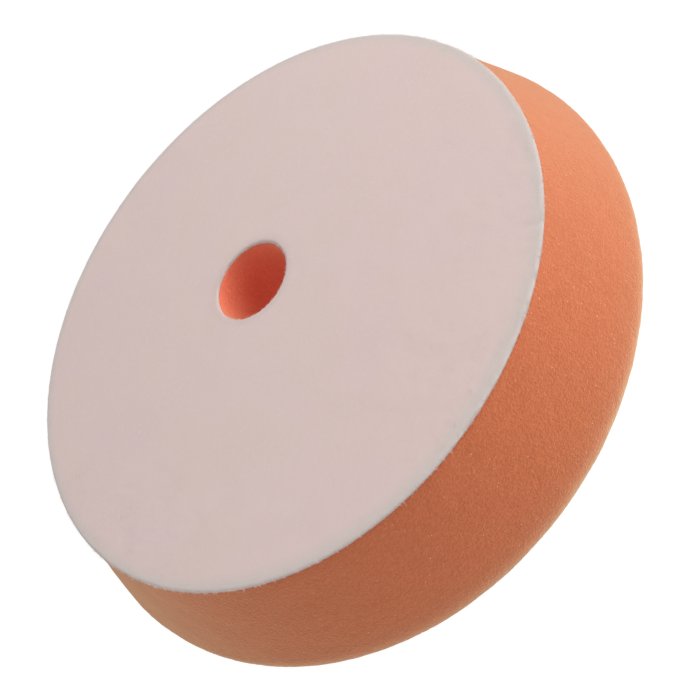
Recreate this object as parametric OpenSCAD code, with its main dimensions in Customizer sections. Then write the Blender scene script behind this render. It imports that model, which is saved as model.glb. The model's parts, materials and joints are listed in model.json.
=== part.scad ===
// Polishing pad: a tapered foam disc with a loop cloth bonded to its narrow end.
// The foam's working face lies on z = 0, and the loop face looks up at z = pad_h.
// All layers are cut on one centre line, and one centre hole is punched through them.

/* [Foam] */
// Overall height, from the working face to the tips of the loops
pad_h = 30; // [20:0.5:50]
// Widest diameter of the foam, at its rounded rim
foam_d = 151; // [138:1:180]
// Radius of the rim between the side wall and the working face
rim_r = 6.5; // [2:0.5:9]

/* [Loop cloth] */
// Diameter of the loop face, and of the foam where the cloth meets it
loop_face_d = 130; // [110:1:134]
// Height of the brushed loops above their ground cloth
pile_t = 0.6; // [0.5:0.1:2]
// Radius of the pile's worn outer edge
pile_edge_r = 0.4; // [0.1:0.1:0.4]
// Thickness of the knitted ground cloth
ground_t = 0.3; // [0.2:0.1:0.8]
// Thickness of the hot-melt adhesive film between the foam and the cloth
film_t = 0.1; // [0.1:0.05:0.4]

/* [Centre hole] */
// Diameter of the hole punched through every layer
hole_d = 19; // [8:0.5:40]

/* [Hidden] */
$fn = 96;

// Radii
foam_r = foam_d / 2;
loop_face_r = loop_face_d / 2;
hole_r = hole_d / 2;

// Heights of the layers' upper faces
ground_top = pad_h - pile_t;
film_top = ground_top - ground_t;
foam_top = film_top - film_t;

// The side wall is straight, and runs from the cloth's edge to where it touches the rim's arc.
// rim_x is the radius at which the arc's centre lies, and wall_lean is the wall's lean from upright.
rim_x = foam_r - rim_r;
to_edge_x = loop_face_r - rim_x;
to_edge_z = foam_top - rim_r;
wall_lean = asin(rim_r / norm([to_edge_x, to_edge_z])) - atan2(to_edge_x, to_edge_z);
rim_steps = 12;

// How far a cutting tool runs past a face
past = 1;

// Outline of half the foam: along the working face, round the rim's arc and up the side wall.
// A punch makes the hole, so the outline starts on the axis.
function rim_arc() = [
    for (i = [0:rim_steps])
        let (a = -90 + (90 + wall_lean) * i / rim_steps)
        [rim_x + rim_r * cos(a), rim_r + rim_r * sin(a)]
];

// Outline of half the pile: a flat disc with its upper edge rounded off.
function pile_edge_arc() = [
    for (i = [0:rim_steps])
        let (a = 90 * i / rim_steps)
        [
            loop_face_r - pile_edge_r + pile_edge_r * cos(a),
            pad_h - pile_edge_r + pile_edge_r * sin(a)
        ]
];

// The punch that cuts the centre hole, between two heights
module punch(z_low, z_high) {
    translate([0, 0, z_low - past])
        cylinder(r = hole_r, h = z_high - z_low + 2 * past);
}

// A flat layer of the pad, cut round and punched
module layer(z_low, z_high) {
    difference() {
        translate([0, 0, z_low])
            cylinder(r = loop_face_r, h = z_high - z_low);
        punch(z_low, z_high);
    }
}

module foam_body() {
    color([0.86, 0.52, 0.36])
        difference() {
            rotate_extrude()
                polygon(concat([[0, 0]], rim_arc(), [[loop_face_r, foam_top], [0, foam_top]]));
            punch(0, foam_top);
        }
}

module adhesive_film() {
    color([0.93, 0.86, 0.74])
        layer(foam_top, film_top);
}

module ground_cloth() {
    color([0.88, 0.80, 0.78])
        layer(film_top, ground_top);
}

module loop_pile() {
    color([0.84, 0.75, 0.73])
        difference() {
            rotate_extrude()
                polygon(concat([[0, ground_top], [loop_face_r, ground_top]], pile_edge_arc(), [[0, pad_h]]));
            punch(ground_top, pad_h);
        }
}

foam_body();
adhesive_film();
ground_cloth();
loop_pile();
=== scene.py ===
"""A round foam polishing pad with a brushed loop face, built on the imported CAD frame. Metres, +Z up."""

import json
import math

import bpy
import numpy as np
from mathutils import Matrix, Vector, noise


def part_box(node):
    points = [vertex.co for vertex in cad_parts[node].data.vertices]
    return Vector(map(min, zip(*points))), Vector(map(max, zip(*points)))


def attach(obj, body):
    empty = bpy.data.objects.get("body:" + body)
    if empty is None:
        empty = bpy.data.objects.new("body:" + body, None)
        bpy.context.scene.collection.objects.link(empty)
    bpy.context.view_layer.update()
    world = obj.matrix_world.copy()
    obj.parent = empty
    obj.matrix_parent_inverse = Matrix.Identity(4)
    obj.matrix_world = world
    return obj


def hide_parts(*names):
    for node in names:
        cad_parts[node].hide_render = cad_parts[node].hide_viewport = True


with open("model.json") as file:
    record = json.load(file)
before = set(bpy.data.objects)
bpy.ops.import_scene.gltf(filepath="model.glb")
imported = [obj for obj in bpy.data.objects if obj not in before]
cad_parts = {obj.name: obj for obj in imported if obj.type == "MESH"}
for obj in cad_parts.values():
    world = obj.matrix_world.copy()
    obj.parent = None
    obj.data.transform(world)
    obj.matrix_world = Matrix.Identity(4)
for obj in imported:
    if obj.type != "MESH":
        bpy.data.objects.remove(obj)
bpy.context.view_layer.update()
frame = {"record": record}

MM = 0.001
SEED = 7

# ---------------------------------------------------------------- sizes, from the frame

FOAM_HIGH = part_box("foam_body")[1]
FILM_LOW, FILM_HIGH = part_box("adhesive_film")
CLOTH_LOW, CLOTH_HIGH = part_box("ground_cloth")
PILE_LOW, PILE_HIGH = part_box("loop_pile")
MOUNTS = {m["name"]: m for m in frame["record"]["mounts"]}

FOAM_R = FOAM_HIGH.x                    # widest radius, at the rim
FOAM_TOP = FOAM_HIGH.z
FACE_R = CLOTH_HIGH.x                   # radius of the cloth
HOLE_R = MOUNTS["centre_hole"]["dims"]["r_mm"] * MM
RIM_R = 6.5 * MM                        # radius of the rim's arc
FOAM_TOP_R = FACE_R - 0.4 * MM          # the cloth overhangs the foam a little
PAD_TOP = PILE_HIGH.z
MAT_SINK = 0.10 * MM                    # how far the felted mat lies below the loops' tips
MAT_TOP = PAD_TOP - MAT_SINK


# ---------------------------------------------------------------- small helpers

def mesh_piece(name, points, faces, material):
    """A new smooth-shaded mesh object. faces is a list of index arrays, with one row per face."""
    mesh = bpy.data.meshes.new(name)
    faces = [np.asarray(f) for f in faces if len(f)]
    sizes = np.concatenate([np.full(len(f), f.shape[1]) for f in faces])
    corners = np.concatenate([f.ravel() for f in faces])
    mesh.vertices.add(len(points))
    mesh.vertices.foreach_set("co", np.asarray(points, np.float32).ravel())
    mesh.loops.add(len(corners))
    mesh.loops.foreach_set("vertex_index", corners.astype(np.int32))
    mesh.polygons.add(len(sizes))
    starts = np.concatenate([[0], np.cumsum(sizes)[:-1]])
    mesh.polygons.foreach_set("loop_start", starts.astype(np.int32))
    mesh.polygons.foreach_set("loop_total", sizes.astype(np.int32))
    mesh.polygons.foreach_set("use_smooth", np.ones(len(sizes), bool))
    mesh.update(calc_edges=True)
    mesh.validate()
    mesh.materials.append(material)
    piece = bpy.data.objects.new(name, mesh)
    bpy.context.scene.collection.objects.link(piece)
    return piece


def lathe(rings):
    """A closed surface of revolution. rings is a closed loop of (radius, height, segments),
    anticlockwise seen with +Z up and the radius to the right. Neighbours have equal segments,
    or one has twice the other's. Returns points and faces."""
    points, starts = [], []
    for radius, height, segments in rings:
        starts.append(sum(len(p) for p in points))
        turn = np.arange(segments) * 2 * math.pi / segments
        x, y = radius * np.cos(turn), radius * np.sin(turn)
        points.append(np.stack([x, y, np.full(segments, height)], 1))
    quads, tris = [], []
    for i, (_, _, n) in enumerate(rings):
        j = (i + 1) % len(rings)
        m = rings[j][2]
        a, b = starts[i], starts[j]
        k = np.arange(min(n, m))
        k1 = (k + 1) % len(k)
        if n == m:
            quads.append(np.stack([a + k, a + k1, b + k1, b + k], 1))
        elif m == 2 * n:
            tris.append(np.stack([a + k, b + 2 * k + 1, b + 2 * k], 1))
            tris.append(np.stack([a + k, a + k1, b + 2 * k + 1], 1))
            tris.append(np.stack([a + k1, b + 2 * k1, b + 2 * k + 1], 1))
        else:
            tris.append(np.stack([a + 2 * k, a + 2 * k + 1, b + k], 1))
            tris.append(np.stack([a + 2 * k + 1, b + k1, b + k], 1))
            tris.append(np.stack([a + 2 * k + 1, a + 2 * k1, b + k1], 1))
    return np.concatenate(points), [np.concatenate(f) for f in (quads, tris) if f]


def between(a, b, step):
    """Points from a to b, both (radius, height), about step apart, without b itself."""
    count = max(1, round(math.dist(a, b) / step))
    shares = [i / count for i in range(count)]
    return [(a[0] + (b[0] - a[0]) * t, a[1] + (b[1] - a[1]) * t) for t in shares]


def arc(cx, cz, radius, start, end, step, height=None):
    """Points on an arc, in degrees from the radius axis, without the last one. It is part of an
    ellipse where its height isn't its radius."""
    count = max(2, round(abs(math.radians(end - start)) * radius / step))
    turns = [math.radians(start + (end - start) * i / count) for i in range(count)]
    return [(cx + radius * math.cos(t), cz + (height or radius) * math.sin(t)) for t in turns]


def cloud(points, size, offset=0.0):
    """Smooth noise at each point, about -1 to 1, with features of that size. Another offset gives
    other noise."""
    fade, finer, octaves = 0.9, 2.0, 2
    spots = points * (1 / size) + np.array([offset, 0.0, 0.0])
    return np.array([noise.fractal(spot, fade, finer, octaves) for spot in spots])


# ---------------------------------------------------------------- materials

class Nodes:
    """Builds one material's node tree with short calls."""

    def __init__(self, name):
        self.material = bpy.data.materials.new(name)
        self.material.use_nodes = True
        self.tree = self.material.node_tree
        self.bsdf = self.tree.nodes["Principled BSDF"]
        self.place = self.tree.nodes.new("ShaderNodeTexCoord").outputs["Object"]
        apart = self.node("SeparateXYZ", {"Vector": self.place})
        self.height = apart.outputs["Z"]
        squares = [self.math("MULTIPLY", v, v) for v in apart.outputs[:2]]
        self.radius = self.math("SQRT", self.math("ADD", *squares))

    def node(self, kind, inputs, **settings):
        """A new node, with its named inputs and settings."""
        made = self.tree.nodes.new("ShaderNode" + kind)
        for key, value in settings.items():
            setattr(made, key, value)
        for key, value in inputs.items():
            self.feed(made.inputs[key], value)
        return made

    def feed(self, socket, value):
        """Links an output to the socket, or sets the socket to a value."""
        if isinstance(value, bpy.types.NodeSocket):
            self.tree.links.new(value, socket)
        else:
            socket.default_value = value

    def noise(self, size, detail, vector=None, distortion=0.0):
        """Noise with features of that size, from 0 to 1."""
        made = self.node("TexNoise", {
            "Vector": vector or self.place, "Scale": 1 / size, "Detail": detail, "Distortion": distortion,
        })
        return made.outputs["Fac"]

    def cells(self, size, feature="F1"):
        """How far each place is from its cell's middle, or from its edge, in cell sizes."""
        made = self.node("TexVoronoi", {"Vector": self.place, "Scale": 1 / size}, feature=feature)
        return made.outputs["Distance"]

    def chances(self, size):
        """Three numbers from 0 to 1 that are the same all over one cell."""
        made = self.node("TexVoronoi", {"Vector": self.place, "Scale": 1 / size})
        return self.node("SeparateColor", {"Color": made.outputs["Color"]}).outputs

    def ramp(self, value, low, high, to_low=0.0, to_high=1.0):
        """value from low to high becomes to_low to to_high, smoothly, and stays there beyond."""
        made = self.node("MapRange", {
            "Value": value, "From Min": low, "From Max": high, "To Min": to_low, "To Max": to_high,
        }, interpolation_type="SMOOTHSTEP")
        return made.outputs["Result"]

    def math(self, operation, a, b=0.0, c=0.0):
        made = self.node("Math", {}, operation=operation)
        for socket, value in zip(made.inputs, (a, b, c)):
            self.feed(socket, value)
        return made.outputs["Value"]

    def blend(self, share, a, b):
        """Colour a where share is 0, b where it is 1."""
        made = self.node("Mix", {}, data_type="RGBA")
        self.feed(made.inputs[0], share)
        self.feed(made.inputs[6], (*a, 1) if isinstance(a, tuple) else a)
        self.feed(made.inputs[7], (*b, 1) if isinstance(b, tuple) else b)
        return made.outputs[2]

    def threads(self, width, length, layers):
        """Tangled fine threads, 1 on a thread and 0 between them: the contour lines of stretched noise."""
        found = 0.0
        apart, line = (7.3, 3.1), 0.05
        for i in range(layers):
            turned = self.node("Mapping", {
                "Vector": self.place,
                "Location": (apart[0] * i, apart[1] * i, 0.0),
                "Rotation": (0.0, 0.0, math.pi * i / layers),
                "Scale": (1 / width, 1 / length, 1 / width),
            })
            wavy = self.noise(1.0, 0.0, turned.outputs["Vector"], distortion=0.5)
            away = self.math("ABSOLUTE", self.math("SUBTRACT", wavy, 0.5))
            found = self.math("MAXIMUM", found, self.ramp(away, 0.0, line, 1.0, 0.0))
        return found

    def bump(self, height, distance, strength=1.0):
        """A normal bent by the relief, where 1 in height is that distance."""
        made = self.node("Bump", {"Height": height, "Distance": distance, "Strength": strength})
        return made.outputs["Normal"]

    def lifted(self, normal, amount):
        """The normal turned towards +Z: a cut edge of upright fibres catches light from above."""
        both = self.node("VectorMath", {0: normal, 1: (0.0, 0.0, amount)}, operation="ADD")
        unit = self.node("VectorMath", {0: both.outputs["Vector"]}, operation="NORMALIZE")
        return unit.outputs["Vector"]

    def surface(self, **values):
        """Sets the shader's own sockets, named with _ for a space."""
        for key, value in values.items():
            name = key.replace("_", " ").title().replace("Ior", "IOR")
            self.feed(self.bsdf.inputs[name], value)
        return self.material


BLACK = (0.0, 0.0, 0.0)

CELL = 0.38 * MM                        # the foam's cells
SPECK = 0.3 * MM                        # the cells that may glint
FOAM_ORANGE = (0.445, 0.100, 0.035)
FOAM_ORANGE_PALE = (0.485, 0.113, 0.040)
# painted shade: the redder tint foam takes in the shade under the cloth's edge
FOAM_SHADE_UNDER_CLOTH = (0.52, 0.079, 0.025)
# painted sheen: paler towards the rim, where the foam's fuzz catches light at a slant
FOAM_PAINTED_SHEEN_NEAR_RIM = (0.45, 0.130, 0.056)
# painted shadow: darker under the rim, where it nears the floor
FOAM_PAINTED_SHADOW_UNDER_RIM = (0.17, 0.066, 0.038)
# painted bounce light: brighter in the hole, as light bounces between its walls
FOAM_PAINTED_BOUNCE_IN_HOLE = (0.66, 0.152, 0.086)
# painted glow: an emission in the hole's wall, standing in for light through the foam
FOAM_HOLE_PAINTED_GLOW = (0.09, 0.007, 0.004)
# painted shade in the pores' middles
FOAM_PORE_SHADE = (0.25, 0.042, 0.015)
FOAM_MOTTLE = (0.27, 0.045, 0.016)
FOAM_LIGHT_CELL = (0.80, 0.31, 0.17)
# painted highlight on the cell edges
FOAM_STRUT_HIGHLIGHT = (0.78, 0.30, 0.16)
# painted glints
FOAM_PAINTED_GLINT = (1.0, 0.66, 0.42)
FOAM_FUZZ = (1.0, 0.80, 0.47, 1.0)


def foam_zones(n):
    """The foam's colour from place to place: a redder painted shade just under the cloth, a paler painted
    sheen towards the rim, a darker painted shadow under the rim, and a brighter painted bounce light in
    the hole."""
    # painted shade under the cloth's edge
    shade_under_cloth = n.ramp(n.height, FOAM_TOP - 1.2 * MM, FOAM_TOP, 0.0, 0.3)
    # painted sheen towards the rim
    painted_sheen_near_rim = n.ramp(n.height, 7 * MM, 14 * MM, 0.8, 0.0)
    # painted shadow under the rim: the low foam near the rim is darkened
    low = n.ramp(n.height, 1 * MM, 8 * MM, 1.0, 0.0)
    shadow_by_rim = n.ramp(n.radius, FOAM_R - 8 * MM, FOAM_R - 4 * MM)
    # painted bounce light in the hole
    painted_bounce_in_hole = n.ramp(n.radius, HOLE_R, HOLE_R + 5 * MM, 1.0, 0.0)
    colour = n.blend(n.noise(9 * MM, detail=3), FOAM_ORANGE, FOAM_ORANGE_PALE)
    colour = n.blend(shade_under_cloth, colour, FOAM_SHADE_UNDER_CLOTH)
    colour = n.blend(painted_sheen_near_rim, colour, FOAM_PAINTED_SHEEN_NEAR_RIM)
    # painted shadow under the rim
    colour = n.blend(n.math("MULTIPLY", low, shadow_by_rim), colour, FOAM_PAINTED_SHADOW_UNDER_RIM)
    return n.blend(painted_bounce_in_hole, colour, FOAM_PAINTED_BOUNCE_IN_HOLE)


def foam_material():
    """Fine-cell polyurethane foam: cell grain, painted shade in the pores, a painted highlight on the cell
    edges, a few shiny cell windows with painted glints, and a pale fuzz.
    The wall of the punched hole has a painted glow, an emission that stands in for light that has come
    through the foam."""
    n = Nodes("foam")
    pore = n.cells(CELL)
    chance = n.chances(CELL)
    # painted shade: darker in the pores' middles
    shade_in_pore = n.math("MULTIPLY", n.ramp(pore, 0.05, 0.5, 0.22, 0.0), n.ramp(chance[0], 0.0, 0.7))
    in_mottle = n.ramp(n.noise(0.6 * MM, detail=2), 0.35, 0.65, 0.18, 0.0)
    on_light_cell = n.ramp(chance[1], 0.5, 1.0, 0.0, 0.08)
    # painted highlight on the cell edges, the raised struts
    strut_highlight = n.ramp(n.cells(CELL, feature="DISTANCE_TO_EDGE"), 0.0, 0.10, 0.12, 0.0)
    lucky = n.ramp(n.chances(SPECK)[2], 0.982, 1.0)
    glint = n.math("MULTIPLY", lucky, n.ramp(n.cells(SPECK), 0.2, 0.45, 1.0, 0.0))
    colour = n.blend(shade_in_pore, foam_zones(n), FOAM_PORE_SHADE)
    colour = n.blend(in_mottle, colour, FOAM_MOTTLE)
    colour = n.blend(on_light_cell, colour, FOAM_LIGHT_CELL)
    colour = n.blend(strut_highlight, colour, FOAM_STRUT_HIGHLIGHT)
    # painted glints: a few cells coloured bright
    colour = n.blend(n.math("MULTIPLY", glint, 0.5), colour, FOAM_PAINTED_GLINT)
    grain = n.math("MULTIPLY_ADD", n.noise(0.2 * MM, detail=2), 0.5, pore)
    relief = n.math("MULTIPLY_ADD", n.noise(0.6 * MM, detail=1), 1.6, grain)
    return n.surface(
        base_color=colour,
        roughness=n.ramp(glint, 0, 1, 0.75, 0.3),
        normal=n.bump(relief, 0.065 * MM),
        specular_ior_level=0.2,
        sheen_weight=0.6,
        sheen_roughness=0.5,
        sheen_tint=FOAM_FUZZ,
        # painted glow in the hole's wall
        emission_color=n.blend(n.ramp(n.radius, HOLE_R, HOLE_R + 2 * MM, 1.0, 0.0), BLACK, FOAM_HOLE_PAINTED_GLOW),
        emission_strength=1.0,
    )


FILM_AMBER = (0.66, 0.30, 0.19)
FILM_AMBER_DEEP = (0.58, 0.22, 0.12)
# painted glow: an emission that lifts the shade on the film's edge
FILM_PAINTED_GLOW = (0.13, 0.08, 0.06)


def film_material():
    """Hot-melt film: pale amber, slightly shiny, with a stringy relief and a painted glow that lifts the
    shade on its edge.
    """
    n = Nodes("adhesive")
    strings = n.noise(1.2 * MM, detail=4)
    return n.surface(
        base_color=n.blend(strings, FILM_AMBER, FILM_AMBER_DEEP),
        roughness=n.ramp(strings, 0.3, 0.7, 0.35, 0.6),
        normal=n.bump(strings, 0.03 * MM, 0.6),
        # painted glow
        emission_color=(*FILM_PAINTED_GLOW, 1.0),
        emission_strength=1.0,
    )


EDGE_PAINTED_GLOW = (0.12, 0.105, 0.10)         # painted glow: an emission that lifts the shade on the pile's cut edges and fibres, as light coming through them would
KNIT_LOW = (0.60, 0.51, 0.48)
KNIT_HIGH = (0.68, 0.58, 0.55)
WALE_SCALE = 1 / (3.0 * MM)
COURSE_SCALE = 1 / (2.2 * MM)


def cloth_material():
    """Fine warp knit: rows of small stitches, seen only as the loop cloth's cut edge, with a painted glow
    that lifts the shade there.
    """
    n = Nodes("ground_cloth")
    wales = n.node("TexWave", {
        "Vector": n.place, "Scale": WALE_SCALE, "Distortion": 0.6, "Detail": 2.0, "Detail Scale": 2.0,
    }, bands_direction="X")
    courses = n.node("TexWave", {
        "Vector": n.place, "Scale": COURSE_SCALE, "Distortion": 0.4,
    }, bands_direction="Y")
    knit = n.math("MULTIPLY", wales.outputs["Fac"], courses.outputs["Fac"])
    return n.surface(
        base_color=n.blend(knit, KNIT_LOW, KNIT_HIGH),
        roughness=0.9,
        normal=n.lifted(n.bump(knit, 0.05 * MM, 0.5), 1.5),
        sheen_weight=0.2,
        # painted glow on the cut edge
        emission_color=(*EDGE_PAINTED_GLOW, 1.0),
        emission_strength=1.0,
    )


PILE_WARM = (0.780, 0.612, 0.572)
PILE_COOL = (0.775, 0.606, 0.588)
# painted shade and sheen of the rounded edge
PILE_RIM_SHADE_AND_SHEEN = (0.660, 0.590, 0.550)
# painted shade by the hole's cut edge
PILE_SHADE_BY_HOLE = (0.69, 0.55, 0.51)
PILE_TUFT = (0.60, 0.46, 0.43)
PILE_THREAD = (0.95, 0.84, 0.82)


def pile_material():
    """Brushed polyester loops: matte pinkish white, faintly mottled where the loops lean different ways,
    and darker and greyer in a band inside the rim with painted shade and sheen, with painted shade by the
    hole and a painted glow on the lower cut edges."""
    n = Nodes("loop_pile")
    lean = n.ramp(n.noise(12 * MM, detail=3), 0.3, 0.7)
    tuft = n.noise(1.0 * MM, detail=3)
    threads = n.threads(0.16 * MM, 0.9 * MM, 5)
    # painted shade and sheen of the rounded edge
    rim_shade_and_sheen = n.ramp(n.radius, FACE_R - 3.5 * MM, FACE_R - 0.5 * MM, 0.0, 0.8)
    # painted shade by the hole's cut edge
    shade_by_hole = n.ramp(n.radius, HOLE_R, HOLE_R + 2.5 * MM, 0.6, 0.0)
    colour = n.blend(lean, PILE_WARM, PILE_COOL)
    colour = n.blend(rim_shade_and_sheen, colour, PILE_RIM_SHADE_AND_SHEEN)
    colour = n.blend(shade_by_hole, colour, PILE_SHADE_BY_HOLE)
    colour = n.blend(n.ramp(tuft, 0.3, 0.7, 0.06, 0.0), colour, PILE_TUFT)
    colour = n.blend(n.math("MULTIPLY", threads, 0.10), colour, PILE_THREAD)
    height = n.math("MULTIPLY_ADD", threads, 0.8, tuft)
    # painted glow on the mat's lower cut edge, where shade falls
    low = n.ramp(n.height, PILE_LOW.z, PAD_TOP - 0.2 * MM, 1.0, 0.0)
    return n.surface(
        base_color=colour,
        roughness=0.95,
        normal=n.lifted(n.bump(height, 0.05 * MM, 0.6), 1.5),
        specular_ior_level=0.2,
        sheen_weight=0.2,
        sheen_roughness=0.5,
        emission_color=n.blend(low, BLACK, EDGE_PAINTED_GLOW),
        emission_strength=1.0,
    )


FIBRE_PALE = (0.86, 0.71, 0.68)
FIBRE_DEEP = (0.81, 0.66, 0.63)


def fibre_material():
    """Single brushed fibres: whiter than the mat, with a painted glow that stands in for light coming
    through them.
    """
    n = Nodes("loop_fibres")
    flat = n.node("NewGeometry", {}).outputs["Normal"]
    return n.surface(
        base_color=n.blend(n.noise(3 * MM, detail=2), FIBRE_PALE, FIBRE_DEEP),
        roughness=0.8,
        normal=n.lifted(flat, 2.0),
        specular_ior_level=0.3,
        sheen_weight=0.3,
        sheen_roughness=0.5,
        # painted glow
        emission_color=(*EDGE_PAINTED_GLOW, 1.0),
        emission_strength=1.0,
    )


# ---------------------------------------------------------------- pieces

def rim_lean():
    """The side wall's lean from upright, where it touches the rim's arc and meets the cloth's edge."""
    dx, dz = FOAM_TOP_R - (FOAM_R - RIM_R), FOAM_TOP - RIM_R
    return math.degrees(math.asin(RIM_R / math.hypot(dx, dz)) - math.atan2(dx, dz))


FINE, MIDDLE, COARSE = 720, 360, 180    # points in a ring
GRAIN_HEIGHT, GRAIN_SIZE = 0.02 * MM, 0.9 * MM      # the foam's fine relief
WAVE_HEIGHT, WAVE_SIZE = 0.07 * MM, 6 * MM          # and the slow waves under it


def foam_rings():
    """The foam's profile, anticlockwise from the hole's lower edge, as rings for lathe()."""
    lean = rim_lean()
    turn = math.radians(lean)
    rim_x = FOAM_R - RIM_R
    wall_low = (rim_x + RIM_R * math.cos(turn), RIM_R * (1 + math.sin(turn)))
    inner, outer = 20 * MM, 40 * MM     # where the flat face's rings get more points
    step = 0.6 * MM
    margin = 4 * MM                     # the top, hidden by the cloth, has a ring near each edge
    rings = [(r, z, COARSE) for r, z in between((HOLE_R, 0), (inner, 0), MM)]
    rings += [(r, z, MIDDLE) for r, z in between((inner, 0), (outer, 0), MM)]
    rings += [(r, z, FINE) for r, z in between((outer, 0), (rim_x, 0), MM)]
    rings += [(r, z, FINE) for r, z in arc(rim_x, RIM_R, RIM_R, -90, lean, step)]
    rings += [(r, z, FINE) for r, z in between(wall_low, (FOAM_TOP_R, FOAM_TOP), step)]
    rings += [(FOAM_TOP_R, FOAM_TOP, FINE), (FACE_R - margin, FOAM_TOP, MIDDLE)]
    rings += [(HOLE_R + margin, FOAM_TOP, COARSE)]
    rings += [(r, z, COARSE) for r, z in between((HOLE_R, FOAM_TOP), (HOLE_R, 0), 0.7 * MM)]
    return rings


def foam():
    """The foam disc, with an uneven relief that never stands past its flat faces."""
    points, faces = lathe(foam_rings())
    piece = mesh_piece("foam_disc", points, faces, foam_material())
    rough = GRAIN_HEIGHT * cloud(points, GRAIN_SIZE)
    rough += WAVE_HEIGHT * cloud(points, WAVE_SIZE, 3.1)
    rough += np.random.default_rng(SEED).normal(0, GRAIN_HEIGHT, len(points))
    points = displace(piece, points, rough)
    points[:, 2] = np.clip(points[:, 2], 0, FOAM_TOP)
    piece.data.vertices.foreach_set("co", points.astype(np.float32).ravel())
    piece.data.update()
    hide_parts("foam_body")
    return piece


def annulus(low_z, high_z, edge, step, segments, outer=None, drop=None):
    """Rings of a flat layer between two heights. Its upper edges are rounded over the width edge,
    and fall by drop there."""
    outer, inner = outer or FACE_R, HOLE_R
    drop = drop or edge
    turn = min(step, edge / 4)
    rings = between((inner, low_z), (outer, low_z), 3 * step)
    rings += between((outer, low_z), (outer, high_z - drop), step)
    rings += arc(outer - edge, high_z - drop, edge, 0, 90, turn, drop)
    rings += between((outer - edge, high_z), (inner + edge, high_z), step)
    rings += arc(inner + edge, high_z - drop, edge, 90, 180, turn, drop)
    rings += between((inner, high_z - drop), (inner, low_z), step)
    return [(r, z, segments) for r, z in rings]


def displace(piece, points, offsets):
    """Moves each point along its own normal."""
    normals = np.zeros(len(points) * 3)
    piece.data.vertices.foreach_get("normal", normals)
    points = points + normals.reshape(-1, 3) * offsets[:, None]
    piece.data.vertices.foreach_set("co", points.astype(np.float32).ravel())
    piece.data.update()
    return points


CUT_EDGE = 0.02 * MM                    # rounding of a die-cut layer's edge
FILM_R = FACE_R - 0.2 * MM
FILM_SQUEEZE = 0.05 * MM                # how far the film's edge wanders in and out


def film():
    """The adhesive film, squeezed a little unevenly at its outer edge."""
    points, faces = lathe(annulus(FILM_LOW.z, FILM_HIGH.z, CUT_EDGE, 2 * MM, FINE, FILM_R))
    turn = np.arctan2(points[:, 1], points[:, 0])
    radius = np.hypot(points[:, 0], points[:, 1])
    band = 2 * MM
    rim = np.clip((radius - FACE_R + band) / band, 0, 1)
    squeeze = FILM_SQUEEZE * rim * cloud(points, 3 * MM, 5.0)
    points[:, 0] += squeeze * np.cos(turn)
    points[:, 1] += squeeze * np.sin(turn)
    piece = mesh_piece("adhesive_layer", points, faces, film_material())
    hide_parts("adhesive_film")
    return piece


def cloth():
    """The knitted ground that holds the loops."""
    points, faces = lathe(annulus(CLOTH_LOW.z, CLOTH_HIGH.z, CUT_EDGE, 1.5 * MM, MIDDLE))
    piece = mesh_piece("knitted_ground", points, faces, cloth_material())
    displace(piece, points, 0.02 * MM * cloud(points, 0.8 * MM, 9.0))
    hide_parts("ground_cloth")
    return piece


MAT_EDGE, MAT_DROP = 0.8 * MM, 0.42 * MM    # width and height of the mat's rounded edge
MAT_STEP = 0.62 * MM


def pile_mat():
    """The dense part of the pile: a felted mat of tangled loops, with broadly rounded edges."""
    points, faces = lathe(annulus(PILE_LOW.z, MAT_TOP, MAT_EDGE, MAT_STEP, FINE, drop=MAT_DROP))
    piece = mesh_piece("pile_mat", points, faces, pile_material())
    rough = 0.02 * MM * cloud(points, 1.3 * MM, 1.7) + 0.03 * MM * cloud(points, 9 * MM, 4.2)
    displace(piece, points, rough)
    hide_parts("loop_pile")
    return piece


def strands(name, paths, across, radius, material):
    """Thin three-sided closed fibres. paths is (strand, point, xyz); across is a direction for each
    strand that its path never runs along."""
    count, steps, _ = paths.shape
    ahead = np.gradient(paths, axis=1)
    ahead /= np.linalg.norm(ahead, axis=2, keepdims=True)
    side = np.cross(ahead, across[:, None, :])
    side /= np.linalg.norm(side, axis=2, keepdims=True)
    up = np.cross(ahead, side)
    tip = 0.6                           # the last ring's radius, as a share of the first's
    taper = radius * np.linspace(1.0, tip, steps)[None, :, None]
    turns = np.arange(3) * 2 * math.pi / 3
    rings = [paths + taper * (side * math.cos(t) + up * math.sin(t)) for t in turns]
    points = np.stack(rings, 2).reshape(-1, 3)
    first = np.arange(count)[:, None] * steps * 3
    quads = [first + 3 * s + np.array([k, (k + 1) % 3, (k + 1) % 3 + 3, k + 3])
             for s in range(steps - 1) for k in range(3)]
    caps = [first + np.array([2, 1, 0]), first + 3 * (steps - 1) + np.array([0, 1, 2])]
    piece = mesh_piece(name, points, [np.concatenate(quads), np.concatenate(caps)], material)
    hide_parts("loop_pile")
    return piece


FIBRE_R = 0.010 * MM
STRAND_POINTS = 5
FACE_LOOPS = 13000
FACE_PIECES = 3
LOOP_LENGTH = 0.7, 1.9                  # mm, the shortest and the longest
LOOP_HEIGHT = 0.03, 0.10                # mm
LOOP_SWAY = 0.28                        # sideways bow, as a share of the length
COMB_SPREAD = 0.9                       # radians between neighbours
COMB_PATCH = 22 * MM                    # how far one direction of combing reaches


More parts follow.
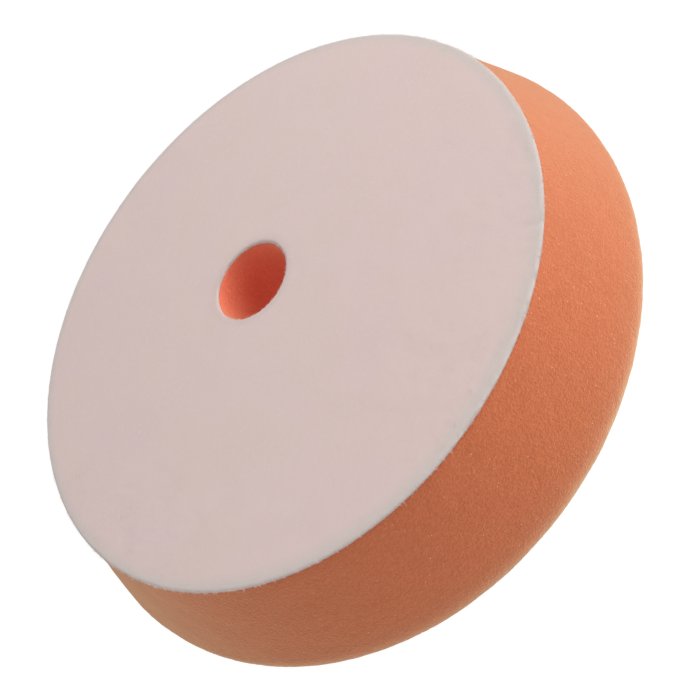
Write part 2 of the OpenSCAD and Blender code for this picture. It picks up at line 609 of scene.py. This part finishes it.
def face_loops(rng, material):
    """Brushed loops that lie over the mat, combed in slowly changing directions."""
    r = np.sqrt(rng.uniform((HOLE_R + 0.2 * MM) ** 2, (FACE_R - 0.5 * MM) ** 2, FACE_LOOPS))
    turn = rng.uniform(0, 2 * math.pi, FACE_LOOPS)
    root = np.stack([r * np.cos(turn), r * np.sin(turn), np.full(FACE_LOOPS, MAT_TOP)], 1)
    comb = 2 * math.pi * cloud(root, COMB_PATCH, 6.6) + rng.normal(0, COMB_SPREAD, FACE_LOOPS)
    along = np.stack([np.cos(comb), np.sin(comb), np.zeros(FACE_LOOPS)], 1)
    across = np.stack([-np.sin(comb), np.cos(comb), np.zeros(FACE_LOOPS)], 1)
    length = rng.uniform(*LOOP_LENGTH, FACE_LOOPS) * MM
    height = rng.uniform(*LOOP_HEIGHT, FACE_LOOPS) * MM
    sway = rng.normal(0, LOOP_SWAY, FACE_LOOPS) * length
    t = np.linspace(0, 1, STRAND_POINTS)
    paths = (
        root[:, None, :]
        + along[:, None, :] * (length[:, None] * (t - 0.5))[:, :, None]
        + across[:, None, :] * (sway[:, None] * np.sin(math.pi * t))[:, :, None]
    )
    sunk = 0.04 * MM                    # both ends dip into the mat
    paths[:, :, 2] += height[:, None] * np.sin(math.pi * (0.05 + 0.90 * t)) - sunk
    spread = np.hypot(paths[:, :, 0], paths[:, :, 1])
    inside = (spread.max(1) < FACE_R) & (spread.min(1) > HOLE_R - 0.1 * MM)
    upright = np.tile(np.array([0.0, 0.0, 1.0]), (FACE_LOOPS, 1)) + 0.2 * across
    groups = np.array_split(np.flatnonzero(inside), FACE_PIECES)
    return [
        strands(f"pile_loops_{i + 1}", paths[group], upright[group], FIBRE_R, material)
        for i, group in enumerate(groups)
    ]


TUFT = 6                                # fibres that leave an edge together
EDGE_FIBRE_R = 1.8 * FIBRE_R            # frayed ends are clumped, so thicker
OUTER_FIBRES = 7500
HOLE_FIBRES = 1500
FRINGE_START = 0.1, 0.9                 # mm in from the edge
FRINGE_DROOP = 0.18 * MM                # how far a free end sags


def edge_fringe(rng, name, count, radius, outward, material):
    """Cut and frayed loops round one edge, in tufts. outward is 1 at the outer edge and -1 in the hole."""
    tufts = count // TUFT
    tuft = rng.integers(0, tufts, count)
    turn = rng.uniform(0, 2 * math.pi, tufts)[tuft] + rng.normal(0, 0.06, count) * MM / radius
    start = radius - outward * rng.uniform(*FRINGE_START, count) * MM
    low = rng.uniform(CLOTH_LOW.z + 0.1 * MM, PAD_TOP - 0.25 * MM, count)
    reach = rng.gamma(4.0, 0.048, tufts)[tuft] * rng.uniform(0.5, 1.1, count) * MM
    reach += outward * (radius - start)
    rise = rng.normal(0.12, 0.16, count) * MM
    wander = rng.normal(0, 0.12, count) * MM
    t = np.linspace(0, 1, STRAND_POINTS)
    r = start[:, None] + outward * reach[:, None] * t
    z = low[:, None] + rise[:, None] * np.sin(0.5 * math.pi * t) - FRINGE_DROOP * t ** 2
    z = np.clip(z, CLOTH_LOW.z - 0.1 * MM, PAD_TOP + 0.15 * MM)
    swing = turn[:, None] + wander[:, None] / radius * t ** 1.5
    paths = np.stack([r * np.cos(swing), r * np.sin(swing), z], 2)
    across = np.stack([-np.sin(turn), np.cos(turn), np.full(count, 0.4)], 1)
    return strands(name, paths, across, EDGE_FIBRE_R, material)


# ---------------------------------------------------------------- stage, light and camera

FLOOR_SIDE = 12.0
FLOOR_GAP = 0.05 * MM                   # keeps the floor clear of the foam's flat face
FLOOR_GREY = (0.08, 0.08, 0.08, 1)
FLOOR_LIGHT = 0.97                      # the floor shines, so that it is white with no shadow
CAMERA_HEIGHT = 100.83 * MM             # above the loop face
CAMERA_AWAY = 126.28 * MM               # from the pad's axis
CAMERA_AIM = Vector((0.46 * MM, -35.69 * MM, 0))   # from the loop face's centre, in its plane
CAMERA_ROLL = -53.43                    # degrees
CAMERA_LENS = 37.93                     # mm, on a sensor 36 mm wide
HORIZON_LIGHT = 0.9                     # of the room, at eye level and below
SKY_LIGHT = 0.10                        # of the room, from SKY_SINE up
SKY_SINE = 0.45                         # sine of the height above the horizon
LAMP_AWAY = 0.9
LAMPS = [                               # name, azimuth, elevation, size, watts
    ("key", -15, 25, 0.7, 8.9),
    ("side", 10, 25, 0.7, 1.7),
    ("front", -40, 42, 1.4, 1.4),
    ("fill", -130, 30, 0.7, 2.0),
    ("back", 140, 35, 0.7, 1.0),
]


def floor():
    bpy.ops.mesh.primitive_plane_add(size=FLOOR_SIDE)
    plane = bpy.context.object
    plane.name = "floor"
    plane.location.z = -FLOOR_GAP
    n = Nodes("floor")
    n.surface(
        base_color=FLOOR_GREY,
        roughness=0.9,
        specular_ior_level=0.1,
        emission_color=(1, 1, 1, 1),
        emission_strength=FLOOR_LIGHT,
    )
    plane.data.materials.append(n.material)


def area_light(name, azimuth, elevation, size, watts):
    """A white square lamp that looks at the pad. Azimuth 0 is +X, anticlockwise from above."""
    data = bpy.data.lights.new(name, "AREA")
    data.size, data.energy = size, watts
    lamp = bpy.data.objects.new(name, data)
    a, e = math.radians(azimuth), math.radians(elevation)
    toward = Vector((math.cos(a) * math.cos(e), math.sin(a) * math.cos(e), math.sin(e)))
    lamp.location = toward * LAMP_AWAY
    lamp.rotation_euler = (-lamp.location).to_track_quat("-Z", "Y").to_euler()
    bpy.context.scene.collection.objects.link(lamp)


def studio():
    """A dim white room that is bright near the horizon."""
    world = bpy.data.worlds.new("studio")
    world.use_nodes = True
    tree = world.node_tree
    toward = tree.nodes.new("ShaderNodeTexCoord").outputs["Generated"]
    apart = tree.nodes.new("ShaderNodeSeparateXYZ")
    fade = tree.nodes.new("ShaderNodeMapRange")
    fade.inputs["From Min"].default_value = 0.0
    fade.inputs["From Max"].default_value = SKY_SINE
    fade.inputs["To Min"].default_value = HORIZON_LIGHT
    fade.inputs["To Max"].default_value = SKY_LIGHT
    tree.links.new(toward, apart.inputs["Vector"])
    tree.links.new(apart.outputs["Z"], fade.inputs["Value"])
    tree.links.new(fade.outputs["Result"], tree.nodes["Background"].inputs["Strength"])
    tree.nodes["Background"].inputs["Color"].default_value = (1, 1, 1, 1)
    bpy.context.scene.world = world


def lights():
    studio()
    for lamp in LAMPS:
        area_light(*lamp)


def camera():
    data = bpy.data.cameras.new("camera")
    data.lens, data.sensor_width = CAMERA_LENS, 36
    data.clip_start, data.clip_end = 0.01, 20
    eye = bpy.data.objects.new("camera", data)
    top = Vector((0, 0, PAD_TOP))
    eye.location = top + Vector((0, -CAMERA_AWAY, CAMERA_HEIGHT))
    look = (top + CAMERA_AIM - eye.location).to_track_quat("-Z", "Y")
    roll = Matrix.Rotation(math.radians(CAMERA_ROLL), 4, "Z").to_quaternion()
    eye.rotation_mode = "QUATERNION"
    eye.rotation_quaternion = look @ roll
    bpy.context.scene.collection.objects.link(eye)
    bpy.context.scene.camera = eye


camera()
lights()
floor()
rng = np.random.default_rng(SEED)
fibre = fibre_material()
adhesive = film()
ground = cloth()
loops = [pile_mat(), *face_loops(rng, fibre)]
loops.append(edge_fringe(rng, "pile_fringe", OUTER_FIBRES, FACE_R, 1, fibre))
loops.append(edge_fringe(rng, "hole_fringe", HOLE_FIBRES, HOLE_R, -1, fibre))
for piece in [foam(), adhesive, ground, *loops]:
    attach(piece, "root")
bpy.context.scene.view_settings.view_transform = "Standard"
